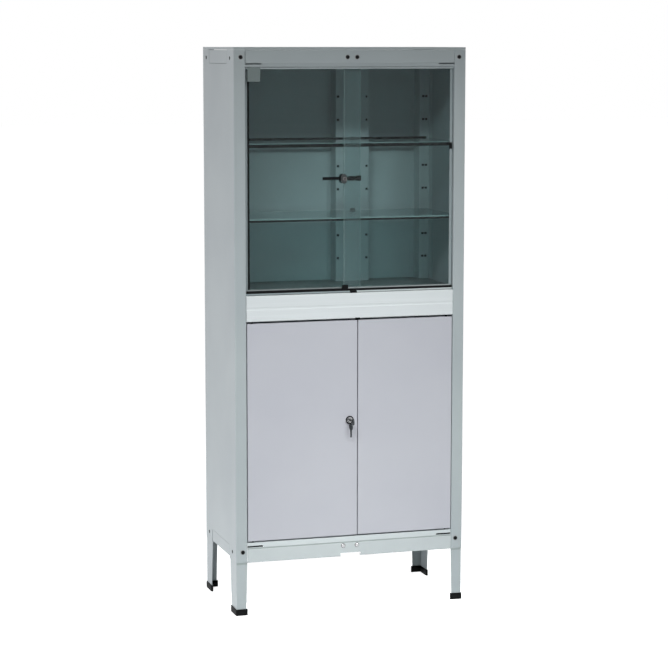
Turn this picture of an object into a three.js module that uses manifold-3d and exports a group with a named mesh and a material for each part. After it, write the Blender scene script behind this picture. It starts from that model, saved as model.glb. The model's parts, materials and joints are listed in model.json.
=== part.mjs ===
// Glass-fronted medical cabinet: a folded sheet-steel case on four tapered legs, with two sliding
// panes above and two hinged steel doors below. Millimetres, +Z up, front facing -Y.
import * as THREE from "three";
import { mergeVertices } from "three/addons/utils/BufferGeometryUtils.js";
import Module from "manifold-3d";

const wasm = await Module();
wasm.setup();

// Overall case
const caseWidth = 750;
const caseDepth = 390;
const caseTop = 1760; // top edge of the side panels and front rail
const caseFoot = 170; // lower edge of the side panels, where the legs show
const sheet = 1.2; // thickness of the folded sheet steel
const seat = 0.3; // gap kept between pieces that rest on or nest in each other
const bendRadius = 2.4; // outside radius of a fold
const lidHeight = 8;

// Front stiles, folded from the side panels
const stileWidth = 37;
const stileReturn = 22;
const stileLip = 23;
const postWidth = 80; // strip of the side panel left beside each side-rail notch

// Rails of the top and bottom frames
const topRailHeight = 39;
const topLipDrop = 13;
const bottomRailHeight = 48;
const bottomRailFoot = 168;
const bottomLipRise = 15.5;
const railLipSet = 5;
const railCrease = 1.4; // depth of the crease under the bottom rail's lip
const railCreaseWidth = 6;
const railFlange = 30;
const sideRailHeight = 43;
const notchRadius = 10; // inner corners of the side panels' notches
const notchGap = 1; // between a side rail and its notch
const lipSlitLength = 48;
const lipSlitHeight = 4.5;
const railNotchWidth = 66;
const railNotchHeight = 11;

// Decks and fascia between the upper and lower parts
const fasciaFoot = 927;
const fasciaHeight = 80;
const fasciaGroove = 1.6; // depth of the shallow crease along the fascia
const fasciaGrooveWidth = 8;

// Legs and feet
const legSheet = 2;
const legSeat = 0.6; // gap between a leg and the corner it is bolted into
const legFrontTop = stileWidth - 2;
const legFrontFoot = 31;
const legSideTop = 76;
const legSideFoot = 60;
const legHorn = 18; // radius of the fillet where a leg runs into the side rail
const legHidden = 75; // length of leg bolted up inside the case
const footHeight = 21;
const footWall = 2.2;
const footSole = 4;

// Sliding glass
const glass = 5;
const paneOverlap = 56;
const paneMeetX = 8; // middle of the overlap
const paneSideGap = 2;
const grooveWidth = glass + 2;
const trackWall = 2;
const topTrackHeight = 20;
const bottomTrackHeight = 11;
const trackBase = 2;

// Shelves
const shelfGlass = 6;
const shelfPitch = 75; // slot pitch of the uprights
const shelfRise = 232.5; // from the middle deck to the lower glass shelf, and between the shelves
const steelShelfLevel = 500;
const steelShelfRim = 22;
const clipWidth = 16;
const clipTongue = 34;

// Rear uprights
const uprightDepth = 52; // from the back panel to the slotted faces
const uprightFlange = 14;
const hatX = 108; // middle of the single upright, which stands right of the case's middle
const hatWidth = 112;
const cornerFace = 34;
const cornerFlank = 28;
const firstSlotRise = 75; // from the middle deck to the lowest slots
const slotInset = 7; // from the edge of the single upright to its slots
const slotWidth = 8.5;
const slotHeight = 7;
const slotGap = 2;

// Hinged doors
const doorThick = 18;
const doorLip = 12;
const doorGap = 2.5; // between a door and its stile
const doorMeetX = 22; // the left door is the wider one
const doorMeetGap = 3;
const doorFoot = 236.5;
const doorTopGap = 6;
const pinRadius = 3;
const pinClearance = 0.4;
const pinInset = 17; // from the door's outer edge to its pivot
const pinSet = 8; // from the door's face to its pivot
const pinReach = 8; // length of pin inside the door

// Cam lock of the doors, with its keys
const doorLockX = -5;
const doorLockZ = 606;
const rosetteRadius = 13;
const rosetteHeight = 4;
const barrelRadius = 9.5;
const barrelLength = 26;
const plugRadius = 6;
const camLength = 44;
const camWidth = 15;
const camSheet = 1.8;
const keySheet = 2.2;
const keyBowRadius = 11;
const keyReach = 52; // from the case front to the end of the key
const keyStemRadius = 2.4;
const ringRadius = 8;
const ringWire = 0.9;
const spareKeyLength = 44;

// Ratchet lock of the glass
const glassLockZ = 1364;
const lockBarHeight = 10;
const lockBarSheet = 1.8;
const lockBarReach = 95; // from the middle of the overlap to the bar's free end
const toothPitch = 6;
const toothDepth = 2.2;
const lockBodyWidth = 20;
const lockBodyHeight = 30;
const lockBodyDepth = 14;
const lockPlugRadius = 5;

// Places that follow from the sizes above
const halfWidth = caseWidth / 2;
const frontY = -caseDepth / 2;
const backY = caseDepth / 2;
const openingHalf = halfWidth - stileWidth;
const railHalf = openingHalf - 0.4;
const stileBackY = frontY + stileReturn;
const fasciaTop = fasciaFoot + fasciaHeight;
const deckTop = fasciaTop + seat + sheet;
const bottomFlatZ = bottomRailFoot + bottomRailHeight + bottomLipRise;
const frontPaneY = frontY + 12 + glass / 2;
const panePitch = grooveWidth + trackWall;
const rearPaneY = frontPaneY + panePitch;
const trackFrontY = frontPaneY - grooveWidth / 2 - trackWall;
const trackDepth = 2 * grooveWidth + 3 * trackWall;
const topTrackFoot = caseTop - topRailHeight - topTrackHeight + 1;
const bottomTrackFoot = deckTop + seat;
const paneFoot = bottomTrackFoot + trackBase + 0.8;
const paneTop = topTrackFoot + topTrackHeight - trackBase - 5;
const backPanelY = backY - sheet - legSeat - legSheet - seat;
const uprightY = backPanelY - sheet - seat;
const shelfFrontY = stileBackY + 13;
const slotFaceY = uprightY - uprightDepth;
const shelfBackY = slotFaceY - 6;
const shelfHalf = halfWidth - 7;
const doorTop = fasciaFoot - doorTopGap;

const paintedSteel = new THREE.MeshStandardMaterial({ color: 0xb9bfc2, roughness: 0.45, metalness: 0.1 });
const paleSteel = new THREE.MeshStandardMaterial({ color: 0xd6dcdd, roughness: 0.4, metalness: 0.1 });
const doorSteel = new THREE.MeshStandardMaterial({ color: 0xb9bdc6, roughness: 0.5, metalness: 0.1 });
const clearGlass = new THREE.MeshStandardMaterial({
  color: 0x9fc0b8,
  roughness: 0.05,
  metalness: 0,
  transparent: true,
  opacity: 0.3,
});
const chrome = new THREE.MeshStandardMaterial({ color: 0xc8cacc, roughness: 0.18, metalness: 1 });
const darkSteel = new THREE.MeshStandardMaterial({ color: 0x2c3130, roughness: 0.4, metalness: 0.8 });
const blackPlastic = new THREE.MeshStandardMaterial({ color: 0x17191a, roughness: 0.55, metalness: 0 });

const cabinet = new THREE.Group();

function addPiece(name, geometry, material, parent = cabinet) {
  const mesh = new THREE.Mesh(geometry, material);
  mesh.name = name;
  parent.add(mesh);
  return mesh;
}

// Booleans: a closed geometry as a solid, and a solid as a geometry
function solidOf(geometry) {
  const bare = new THREE.BufferGeometry();
  const flat = geometry.index ? geometry.toNonIndexed() : geometry;
  bare.setAttribute("position", flat.getAttribute("position").clone());
  const merged = mergeVertices(bare, 1e-4);
  return new wasm.Manifold(
    new wasm.Mesh({
      numProp: 3,
      vertProperties: merged.attributes.position.array,
      triVerts: new Uint32Array(merged.index.array),
    }),
  );
}

function geometryOf(solid) {
  const mesh = solid.getMesh();
  const geometry = new THREE.BufferGeometry();
  geometry.setAttribute("position", new THREE.BufferAttribute(new Float32Array(mesh.vertProperties), 3));
  geometry.setIndex(new THREE.BufferAttribute(new Uint32Array(mesh.triVerts), 1));
  const flat = geometry.toNonIndexed();
  flat.computeVertexNormals();
  return flat;
}

function joined(...geometries) {
  return geometryOf(geometries.map(solidOf).reduce((a, b) => a.add(b)));
}

function cut(geometry, ...tools) {
  return geometryOf(tools.map(solidOf).reduce((a, b) => a.subtract(b), solidOf(geometry)));
}

// A box given by its lowest and highest corners
function block(x0, y0, z0, x1, y1, z1) {
  const geometry = new THREE.BoxGeometry(x1 - x0, y1 - y0, z1 - z0);
  return geometry.translate((x0 + x1) / 2, (y0 + y1) / 2, (z0 + z1) / 2);
}

// A cylinder along an axis, from its start point
function rod(axis, start, length, radius, sides = 20) {
  const geometry = new THREE.CylinderGeometry(radius, radius, length, sides);
  if (axis === "x") geometry.rotateZ(-Math.PI / 2);
  if (axis === "z") geometry.rotateX(Math.PI / 2);
  const middle = { x: [length / 2, 0, 0], y: [0, length / 2, 0], z: [0, 0, length / 2] }[axis];
  return geometry.translate(start[0] + middle[0], start[1] + middle[1], start[2] + middle[2]);
}

// An outline extruded along one axis. Outline points are (x, y), (y, z) or (x, z) for z, x and y.
function extruded(axis, points, from, to) {
  const isShape = points instanceof THREE.Shape;
  const shape = isShape ? points : new THREE.Shape(points.map(([u, v]) => new THREE.Vector2(u, v)));
  const settings = { depth: to - from, bevelEnabled: false, curveSegments: 5 };
  const geometry = new THREE.ExtrudeGeometry(shape, settings);
  if (axis === "x") {
    geometry.applyMatrix4(
      new THREE.Matrix4().makeBasis(
        new THREE.Vector3(0, 1, 0),
        new THREE.Vector3(0, 0, 1),
        new THREE.Vector3(1, 0, 0),
      ),
    );
    return geometry.translate(from, 0, 0);
  }
  if (axis === "y") {
    geometry.rotateX(Math.PI / 2);
    return geometry.translate(0, to, 0);
  }
  return geometry.translate(0, 0, from);
}

// The corners of an open line rounded by a fold; a positive turn takes one radius, a negative the other
function rounded(line, leftRadius, rightRadius) {
  const out = [line[0]];
  for (let i = 1; i < line.length - 1; i++) {
    const before = new THREE.Vector2(...line[i - 1]);
    const corner = new THREE.Vector2(...line[i]);
    const after = new THREE.Vector2(...line[i + 1]);
    const inward = corner.clone().sub(before).normalize();
    const outward = after.clone().sub(corner).normalize();
    const turn = Math.atan2(inward.cross(outward), inward.dot(outward));
    const radius = turn > 0 ? leftRadius : rightRadius;
    const reach = radius * Math.tan(Math.abs(turn) / 2);
    if (reach < 0.05) {
      out.push(line[i]);
      continue;
    }
    const start = corner.clone().addScaledVector(inward, -reach);
    const steps = Math.abs(turn) > 1 ? 3 : 1;
    const side = new THREE.Vector2(-inward.y, inward.x).multiplyScalar(Math.sign(turn) * radius);
    const centre = start.clone().add(side);
    for (let k = 0; k <= steps; k++) {
      const arm = side.clone().negate().rotateAround(new THREE.Vector2(), (turn * k) / steps);
      out.push([centre.x + arm.x, centre.y + arm.y]);
    }
  }
  out.push(line[line.length - 1]);
  return out;
}

// The outline of a folded sheet: the line is one face, and the sheet's thickness lies to its left
function folded(line, thick = sheet, radius = bendRadius) {
  const normals = line.slice(1).map(([x, y], i) => {
    const along = new THREE.Vector2(x - line[i][0], y - line[i][1]).normalize();
    return new THREE.Vector2(-along.y, along.x);
  });
  const inner = line.map(([x, y], i) => {
    const a = normals[Math.max(i - 1, 0)];
    const b = normals[Math.min(i, normals.length - 1)];
    const mitre = a.clone().add(b);
    mitre.multiplyScalar(thick / mitre.dot(a));
    return [x + mitre.x, y + mitre.y];
  });
  const tight = Math.max(radius - thick, 0.2);
  const outer = rounded(line, radius, tight);
  const back = rounded(inner, tight, radius).reverse();
  return [...outer, ...back];
}

// Side panels: one sheet each, with the front stile and back flange folded from it
const sideNotchTop = caseTop - sideRailHeight;
const sideNotchFoot = caseFoot + sideRailHeight;
const notchHalf = caseDepth / 2 - postWidth;

// The notch for a side rail, open at one end and rounded at its inner corners
function notch(openZ, innerZ, gap, x0, x1) {
  const inner = innerZ + Math.sign(openZ - innerZ) * gap;
  const half = notchHalf - gap;
  const line = [
    [-half, openZ],
    [-half, inner],
    [half, inner],
    [half, openZ],
  ];
  const radius = notchRadius - gap;
  return extruded("x", rounded(line, radius, radius), Math.min(x0, x1), Math.max(x0, x1));
}

function sidePanel(side) {
  const line = [
    [-(halfWidth - stileWidth + stileLip), stileBackY],
    [-openingHalf, stileBackY],
    [-openingHalf, frontY],
    [-halfWidth, frontY],
    [-halfWidth, backY],
    [-openingHalf, backY],
  ].map(([x, y]) => [-side * x, y]);
  const outline = folded(side < 0 ? line.reverse() : line);
  const panel = extruded("z", outline, caseFoot, caseTop);
  const outerX = side * (halfWidth + 1);
  const innerX = side * (halfWidth - sheet - 1);
  return cut(
    panel,
    notch(caseTop + 1, sideNotchTop, 0, outerX, innerX),
    notch(caseFoot - 1, sideNotchFoot, 0, outerX, innerX),
  );
}

// Side rails fill the notches flush, with joggled ends that tuck in behind the panel or the leg
function sideRail(side, foot, top, joggle, flangeZ, openZ, innerZ) {
  const faceEnd = notchHalf - notchGap - joggle;
  const tabEnd = notchHalf + 40;
  const faceX = -halfWidth;
  const tabX = -halfWidth + joggle;
  const line = [
    [tabX, tabEnd],
    [tabX, notchHalf - 0.4],
    [faceX, faceEnd],
    [faceX, -faceEnd],
    [tabX, -(notchHalf - 0.4)],
    [tabX, -tabEnd],
  ].map(([x, y]) => [-side * x, y]);
  const web = extruded("z", folded(side < 0 ? line : line.reverse(), sheet, sheet + 0.4), foot, top);
  const near = side * (halfWidth - sheet + 0.2);
  const far = side * (halfWidth - railFlange);
  const flange = block(
    Math.min(near, far),
    -faceEnd,
    flangeZ,
    Math.max(near, far),
    faceEnd,
    flangeZ + sheet,
  );
  const outerX = side * (halfWidth + 1);
  const behindX = side * (halfWidth - sheet - 0.2);
  const surround = cut(
    block(
      Math.min(outerX, behindX),
      -halfWidth,
      Math.min(openZ, innerZ) - 20,
      Math.max(outerX, behindX),
      halfWidth,
      Math.max(openZ, innerZ) + 20,
    ),
    notch(openZ, innerZ, notchGap, outerX + side, behindX - side),
  );
  return cut(joined(web, flange), surround);
}

// Front rails: channels between the stiles, with a sloping lip slit off the face at both ends
function lipSlits(lowZ, lipY) {
  return [-1, 1].map((side) => {
    const end = side * (railHalf + 1);
    const root = side * (railHalf - lipSlitLength);
    const tip = side * (railHalf - lipSlitLength - lipSlitHeight);
    const outline = [
      [end, lowZ],
      [tip, lowZ],
      [root, lowZ + lipSlitHeight],
      [end, lowZ + lipSlitHeight],
    ];
    return extruded("y", side > 0 ? outline.reverse() : outline, frontY - 1, lipY);
  });
}

function topFrontRail() {
  const faceFoot = caseTop - topRailHeight;
  const line = [
    [frontY + railFlange, caseTop],
    [frontY, caseTop],
    [frontY, faceFoot],
    [frontY + railLipSet, faceFoot - topLipDrop],
    [trackFrontY - 0.6, faceFoot - topLipDrop],
  ];
  const rail = extruded("x", folded(line), -railHalf, railHalf);
  return cut(rail, ...lipSlits(faceFoot - lipSlitHeight - 1, frontY + railLipSet));
}

function bottomFrontRail() {
  const faceTop = bottomRailFoot + bottomRailHeight;
  const line = [
    [frontY + railFlange, bottomFlatZ],
    [frontY + railLipSet, bottomFlatZ],
    [frontY, faceTop],
    [frontY + railCrease, faceTop - railCreaseWidth / 2],
    [frontY, faceTop - railCreaseWidth],
    [frontY, bottomRailFoot],
    [frontY + railFlange / 2, bottomRailFoot],
  ];
  const rail = extruded("x", folded(line), -railHalf, railHalf);
  const notch = block(
    -railNotchWidth / 2,
    frontY - 1,
    bottomRailFoot - 1,
    railNotchWidth / 2,
    frontY + railFlange,
    bottomRailFoot + railNotchHeight,
  );
  return cut(rail, notch, ...lipSlits(faceTop + 1, frontY + railLipSet));
}

// Lid: a shallow tray that sits on the rails and side panels
function lid() {
  const outline = roundedRectangle(-halfWidth, frontY, halfWidth, backY, bendRadius);
  const shell = extruded("z", outline, caseTop + seat, caseTop + lidHeight);
  const hollow = block(
    -halfWidth + sheet,
    frontY + sheet,
    caseTop,
    halfWidth - sheet,
    backY - sheet,
    caseTop + lidHeight - sheet,
  );
  return cut(shell, hollow);
}

function roundedRectangle(x0, y0, x1, y1, radius) {
  const shape = new THREE.Shape();
  shape.moveTo(x0 + radius, y0);
  shape.lineTo(x1 - radius, y0);
  shape.absarc(x1 - radius, y0 + radius, radius, -Math.PI / 2, 0);
  shape.lineTo(x1, y1 - radius);
  shape.absarc(x1 - radius, y1 - radius, radius, 0, Math.PI / 2);
  shape.lineTo(x0 + radius, y1);
  shape.absarc(x0 + radius, y1 - radius, radius, Math.PI / 2, Math.PI);
  shape.lineTo(x0, y0 + radius);
  shape.absarc(x0 + radius, y0 + radius, radius, Math.PI, 1.5 * Math.PI);
  return shape;
}

// Decks: flat sheets notched round the stiles in front and, where they pass, the uprights behind
function deck(z, frontEdgeY, uprightsPass) {
  const half = halfWidth - sheet - legSheet - 3 * seat - 1;
  const stileX = openingHalf - 1;
  const behindStile = stileBackY + sheet;
  const rearY = uprightY - sheet - 1;
  const outline = [
    [stileX, frontEdgeY],
    [stileX, behindStile],
    [half, behindStile],
    [half, rearY],
    [-half, rearY],
    [-half, behindStile],
    [-stileX, behindStile],
    [-stileX, frontEdgeY],
  ];
  const flat = extruded("z", outline, z, z + sheet);
  if (!uprightsPass) return flat;
  const room = sheet + 1;
  const hatRoom = hatWidth / 2 + room;
  const cornerEdge = cornerX - cornerFace - room;
  const notches = [
    [hatX - hatRoom, hatX + hatRoom],
    [cornerEdge, halfWidth],
    [-halfWidth, -cornerEdge],
  ];
  const faceY = slotFaceY - room;
  return cut(flat, ...notches.map(([x0, x1]) => block(x0, faceY, z - 1, x1, backY, z + sheet + 1)));
}

function fascia() {
  const grooveZ = fasciaFoot + fasciaHeight / 2;
  const line = [
    [frontY + railFlange, fasciaTop],
    [frontY, fasciaTop],
    [frontY, grooveZ + fasciaGrooveWidth / 2],
    [frontY + fasciaGroove, grooveZ],
    [frontY, grooveZ - fasciaGrooveWidth / 2],
    [frontY, fasciaFoot],
    [frontY + railFlange, fasciaFoot],
  ];
  return extruded("x", folded(line), -railHalf, railHalf);
}

// Back panel: one sheet with its top and bottom edges folded forward
function backPanel() {
  const half = halfWidth - sheet - legSeat - legSheet - 2 * seat;
  const line = [
    [backPanelY - 20, caseFoot + 2],
    [backPanelY, caseFoot + 2],
    [backPanelY, caseTop - 3],
    [backPanelY - 20, caseTop - 3],
  ];
  return extruded("x", folded(line), -half, half);
}

// Rear uprights: slotted folded strips, standing off the back panel, that carry the shelf clips
const uprightFoot = caseFoot + legHidden + 2;
const uprightTop = caseTop - 50;
const slotLevels = [];
for (let z = deckTop + firstSlotRise; z < uprightTop - 30; z += shelfPitch) slotLevels.push(z);

function slots(columns) {
  const front = slotFaceY - sheet - 1;
  const back = slotFaceY + 1;
  const half = slotWidth / 2;
  const tall = slotHeight / 2;
  return slotLevels.flatMap((z) =>
    columns.map((x) => block(x - half, front, z - tall, x + half, back, z + tall)),
  );
}

function singleUpright() {
  const crown = hatWidth / 2;
  const line = [
    [hatX + crown + uprightFlange, uprightY],
    [hatX + crown, uprightY],
    [hatX + crown, slotFaceY],
    [hatX - crown, slotFaceY],
    [hatX - crown, uprightY],
    [hatX - crown - uprightFlange, uprightY],
  ];
  const strip = extruded("z", folded(line), uprightFoot, uprightTop);
  const column = crown - slotInset;
  return cut(strip, ...slots([hatX - column, hatX + column]));
}

const cornerX = halfWidth - sheet - seat;
const cornerSlotX = cornerX - cornerFace / 2;

function cornerUpright(side) {
  const line = [
    [cornerX, slotFaceY - cornerFlank],
    [cornerX, slotFaceY],
    [cornerX - cornerFace, slotFaceY],
    [cornerX - cornerFace, uprightY],
    [cornerX - cornerFace - uprightFlange, uprightY],
  ].map(([x, y]) => [side * x, y]);
  const outline = folded(side > 0 ? line : line.reverse());
  const strip = extruded("z", outline, uprightFoot, uprightTop);
  const apart = (slotWidth + slotGap) / 2;
  return cut(strip, ...slots([side * (cornerSlotX - apart), side * (cornerSlotX + apart)]));
}

// Legs: tapered angles bolted up inside the corners, each in a black cap
const legX = halfWidth - sheet - legSeat;
const legY = caseDepth / 2 - sheet - legSeat;

function leg() {
  const hiddenTop = caseFoot + legHidden;
  const hiddenFront = stileWidth - 2 * sheet - 2 * legSeat;
  const front = [
    [0, footSole],
    [legFrontFoot, footSole],
    [legFrontTop, caseFoot - 2],
    [hiddenFront, caseFoot - 1],
    [hiddenFront, hiddenTop],
    [0, hiddenTop],
  ];
  const hornTop = caseFoot + 5.4;
  const horn = [0, 15, 30, 45, 60, 75].map((degrees) => {
    const turn = (degrees * Math.PI) / 180;
    return [legSideTop + legHorn * (1 - Math.cos(turn)), hornTop - legHorn * (1 - Math.sin(turn))];
  });
  const flank = [
    [0, footSole],
    [legSideFoot, footSole],
    ...horn,
    [horn[5][0], hornTop],
    [legSideTop, hornTop],
    [legSideTop, hiddenTop],
    [0, hiddenTop],
  ];
  return joined(extruded("y", front, 0, legSheet), extruded("x", flank, 0, legSheet));
}

function foot() {
  const reach = seat + footWall;
  const frontEnd = legFrontFoot + 2 + reach;
  const sideEnd = legSideFoot + 2 + reach;
  const inside = legSheet + reach;
  const outline = [
    [-reach, -reach],
    [frontEnd, -reach],
    [frontEnd, inside],
    [inside, inside],
    [inside, sideEnd],
    [-reach, sideEnd],
  ];
  const pocket = legSheet + seat;
  const room = [
    [-seat, -seat],
    [legFrontFoot + 2, -seat],
    [legFrontFoot + 2, pocket],
    [pocket, pocket],
    [pocket, legSideFoot + 2],
    [-seat, legSideFoot + 2],
  ];
  return cut(
    extruded("z", outline, 0, footHeight),
    extruded("z", room, footSole - seat, footHeight + 1),
  );
}

// A leg-corner piece drawn for the front left corner, mirrored to another corner
function atCorner(geometry, right, back) {
  const placed = geometry.clone();
  const flip = new THREE.Matrix4().makeScale(right ? -1 : 1, back ? -1 : 1, 1);
  placed.applyMatrix4(flip);
  if (right !== back) turnFaces(placed);
  return placed.translate(right ? legX : -legX, back ? legY : -legY, 0);
}

function turnFaces(geometry) {
  const p = geometry.getAttribute("position");
  for (let i = 0; i < p.count; i += 3) {
    const [x, y, z] = [p.getX(i), p.getY(i), p.getZ(i)];
    p.setXYZ(i, p.getX(i + 1), p.getY(i + 1), p.getZ(i + 1));
    p.setXYZ(i + 1, x, y, z);
  }
  geometry.computeVertexNormals();
}

// Double tracks for the panes: the top one hangs from the rail's flange, the bottom one lies on the deck
function trackOutline(baseZ, wallZ) {
  const y = (n) => trackFrontY + n * panePitch;
  return [
    [y(0), baseZ],
    [y(0) + trackDepth, baseZ],
    [y(0) + trackDepth, wallZ],
    [y(2), wallZ],
    [y(2), baseZ + Math.sign(wallZ - baseZ) * trackBase],
    [y(1) + trackWall, baseZ + Math.sign(wallZ - baseZ) * trackBase],
    [y(1) + trackWall, wallZ],
    [y(1), wallZ],
    [y(1), baseZ + Math.sign(wallZ - baseZ) * trackBase],
    [y(0) + trackWall, baseZ + Math.sign(wallZ - baseZ) * trackBase],
    [y(0) + trackWall, wallZ],
    [y(0), wallZ],
  ];
}

function topTrack() {
  const base = topTrackFoot + topTrackHeight;
  const outline = trackOutline(base, topTrackFoot).reverse();
  const webY = trackFrontY + trackDepth;
  const channel = extruded("x", outline, -railHalf, railHalf);
  const web = block(-railHalf, webY - trackWall, base - trackBase, railHalf, webY, caseTop - sheet - seat);
  return joined(channel, web);
}

function bottomTrack() {
  const outline = trackOutline(bottomTrackFoot, bottomTrackFoot + bottomTrackHeight);
  return extruded("x", outline, -railHalf, railHalf);
}

function pane(side, middleY) {
  const outerX = side * (openingHalf - paneSideGap);
  const innerX = paneMeetX - side * (paneOverlap / 2);
  return block(
    Math.min(outerX, innerX),
    middleY - glass / 2,
    paneFoot,
    Math.max(outerX, innerX),
    middleY + glass / 2,
    paneTop,
  );
}

// A nylon end glide clipped on the lower corner of the front pane
function paneGlide() {
  const edgeX = paneMeetX - paneOverlap / 2;
  const body = block(
    edgeX - 4,
    frontPaneY - glass / 2 - 0.9,
    paneFoot + 1.5,
    edgeX + 14,
    frontPaneY + glass / 2 + 0.6,
    paneFoot + 20,
  );
  const room = block(
    edgeX - seat,
    frontPaneY - glass / 2 - seat,
    paneFoot,
    edgeX + 20,
    frontPaneY + glass / 2 + seat,
    paneFoot + 24,
  );
  return cut(body, room);
}

// Ratchet lock: a toothed bar hooked on the rear pane's edge, running in the back of the lock body,
// which is clamped on the front pane's edge
const barY = (frontPaneY + rearPaneY) / 2;
const barFrontY = barY - lockBarSheet / 2;

function lockBar() {
  const edgeX = paneMeetX + paneOverlap / 2 + seat;
  const barEnd = paneMeetX - lockBarReach;
  const hookY = rearPaneY + glass / 2 + seat;
  const line = [
    [barEnd, barFrontY],
    [edgeX + lockBarSheet, barFrontY],
    [edgeX + lockBarSheet, hookY + lockBarSheet],
    [edgeX - 16, hookY + lockBarSheet],
  ];
  const low = glassLockZ - lockBarHeight / 2;
  const bar = extruded("z", folded(line, lockBarSheet, 2), low, low + lockBarHeight);
  const teeth = [];
  for (let x = barEnd + toothPitch; x < paneMeetX - paneOverlap / 2 + 6; x += toothPitch) {
    const tooth = [
      [x, low - 1],
      [x + toothPitch * 0.8, low - 1],
      [x, low + toothDepth],
    ];
    teeth.push(extruded("y", tooth, barFrontY - 1, barFrontY + lockBarSheet + 1));
  }
  return cut(bar, ...teeth);
}

const lockBodyX = paneMeetX - paneOverlap / 2 - 4; // middle of the lock body
const lockBodyFrontY = frontPaneY - glass / 2 - seat - lockBodyDepth;
const lockBodyBackY = rearPaneY - glass / 2 - 0.6;

function lockBody() {
  const half = lockBodyWidth / 2;
  const tall = lockBodyHeight / 2;
  const outline = new THREE.Shape();
  outline.moveTo(lockBodyX - half, glassLockZ - tall + half);
  outline.absarc(lockBodyX, glassLockZ - tall + half, half, Math.PI, 2 * Math.PI);
  outline.lineTo(lockBodyX + half, glassLockZ + tall - half);
  outline.absarc(lockBodyX, glassLockZ + tall - half, half, 0, Math.PI);
  const body = extruded("y", outline, lockBodyFrontY, lockBodyBackY);
  const paneRoom = block(
    paneMeetX - paneOverlap / 2 - seat,
    frontPaneY - glass / 2 - seat,
    glassLockZ - lockBodyHeight,
    lockBodyX + lockBodyWidth,
    lockBodyBackY + 1,
    glassLockZ + lockBodyHeight,
  );
  const barRoom = block(
    lockBodyX - lockBodyWidth,
    barFrontY - 0.5,
    glassLockZ - lockBarHeight / 2 - 0.5,
    lockBodyX + lockBodyWidth,
    lockBodyBackY + 1,
    glassLockZ + lockBarHeight / 2 + 0.5,
  );
  const plugRoom = rod("y", [lockBodyX, lockBodyFrontY - 1, glassLockZ], 9, lockPlugRadius + seat);
  return cut(body, paneRoom, barRoom, plugRoom);
}

// The plug of the ratchet lock with its small key left in
function lockPlug() {
  const plug = rod("y", [lockBodyX, lockBodyFrontY - 1.2, glassLockZ], 8.5, lockPlugRadius);
  const bowY = lockBodyFrontY - 16;
  const bow = rod("x", [lockBodyX - 1, bowY, glassLockZ], 2, 7);
  const hole = rod("x", [lockBodyX - 2, bowY - 3, glassLockZ], 4, 1.8, 12);
  const blade = block(
    lockBodyX - 1,
    bowY,
    glassLockZ - 2.5,
    lockBodyX + 1,
    lockBodyFrontY,
    glassLockZ + 2.5,
  );
  return joined(plug, cut(joined(bow, blade), hole));
}

// Doors: steel pans with a lip all round the back, turning on pins near their outer edges
const doorOuterX = openingHalf - doorGap;
const pinX = doorOuterX - pinInset;
const pinY = frontY + pinSet;

function doorPan(x0, x1, pinSide) {
  const back = frontY + doorThick;
  const pan = extruded("y", roundedRectangle(x0, doorFoot, x1, doorTop, 1.5), frontY, back);
  const room = block(
    x0 + sheet,
    frontY + sheet,
    doorFoot + sheet,
    x1 - sheet,
    back - sheet,
    doorTop - sheet,
  );
  const mouth = block(
    x0 + doorLip,
    back - 2 * sheet,
    doorFoot + doorLip,
    x1 - doorLip,
    back + 1,
    doorTop - doorLip,
  );
  const pinHoles = [doorFoot - 1, doorTop - sheet - 1].map((z) =>
    rod("z", [pinSide * pinX, pinY, z], sheet + 2, pinRadius + pinClearance),
  );
  return cut(pan, room, mouth, ...pinHoles);
}

function leftDoor() {
  const bore = rod("y", [doorLockX, frontY - 1, doorLockZ], sheet + 2, barrelRadius + seat);
  return cut(doorPan(-doorOuterX, doorMeetX - doorMeetGap / 2, -1), bore);
}

function rightDoor() {
  return doorPan(doorMeetX + doorMeetGap / 2, doorOuterX, 1);
}

function doorPin(side, top) {
  const foot = top ? doorTop - sheet - pinReach : bottomFlatZ + seat;
  const head = top ? fasciaFoot - seat : doorFoot + sheet + pinReach;
  return rod("z", [side * pinX, pinY, foot], head - foot, pinRadius);
}

// Cam lock: barrel with its rosette, plug, cam and key, turning about Y
function lockBarrel() {
  const hole = plugRadius + seat;
  const rosette = new THREE.LatheGeometry(
    [
      new THREE.Vector2(hole, 0),
      new THREE.Vector2(hole, 1 - rosetteHeight),
      new THREE.Vector2(hole + 1.3, -rosetteHeight),
      new THREE.Vector2(rosetteRadius - 1.6, -rosetteHeight),
      new THREE.Vector2(rosetteRadius, -rosetteHeight * 0.45),
      new THREE.Vector2(rosetteRadius, 0),
      new THREE.Vector2(hole, 0),
    ],
    28,
  );
  const faceY = frontY - seat;
  rosette.translate(doorLockX, faceY, doorLockZ);
  const tube = cut(
    rod("y", [doorLockX, faceY - 0.5, doorLockZ], barrelLength - 0.5, barrelRadius, 28),
    rod("y", [doorLockX, faceY - 2, doorLockZ], barrelLength + 4, hole, 28),
  );
  return joined(rosette, tube);
}

const plugFrontY = frontY - rosetteHeight - 1.5;
const camY = frontY + barrelLength;

function doorPlug() {
  const plug = rod("y", [doorLockX, plugFrontY, doorLockZ], camY - plugFrontY - seat, plugRadius);
  const slotTool = block(
    doorLockX - keySheet / 2 - seat,
    plugFrontY - 1,
    doorLockZ - 4.5,
    doorLockX + keySheet / 2 + seat,
    plugFrontY + 8,
    doorLockZ + 4.5,
  );
  return cut(plug, slotTool);
}

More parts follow.
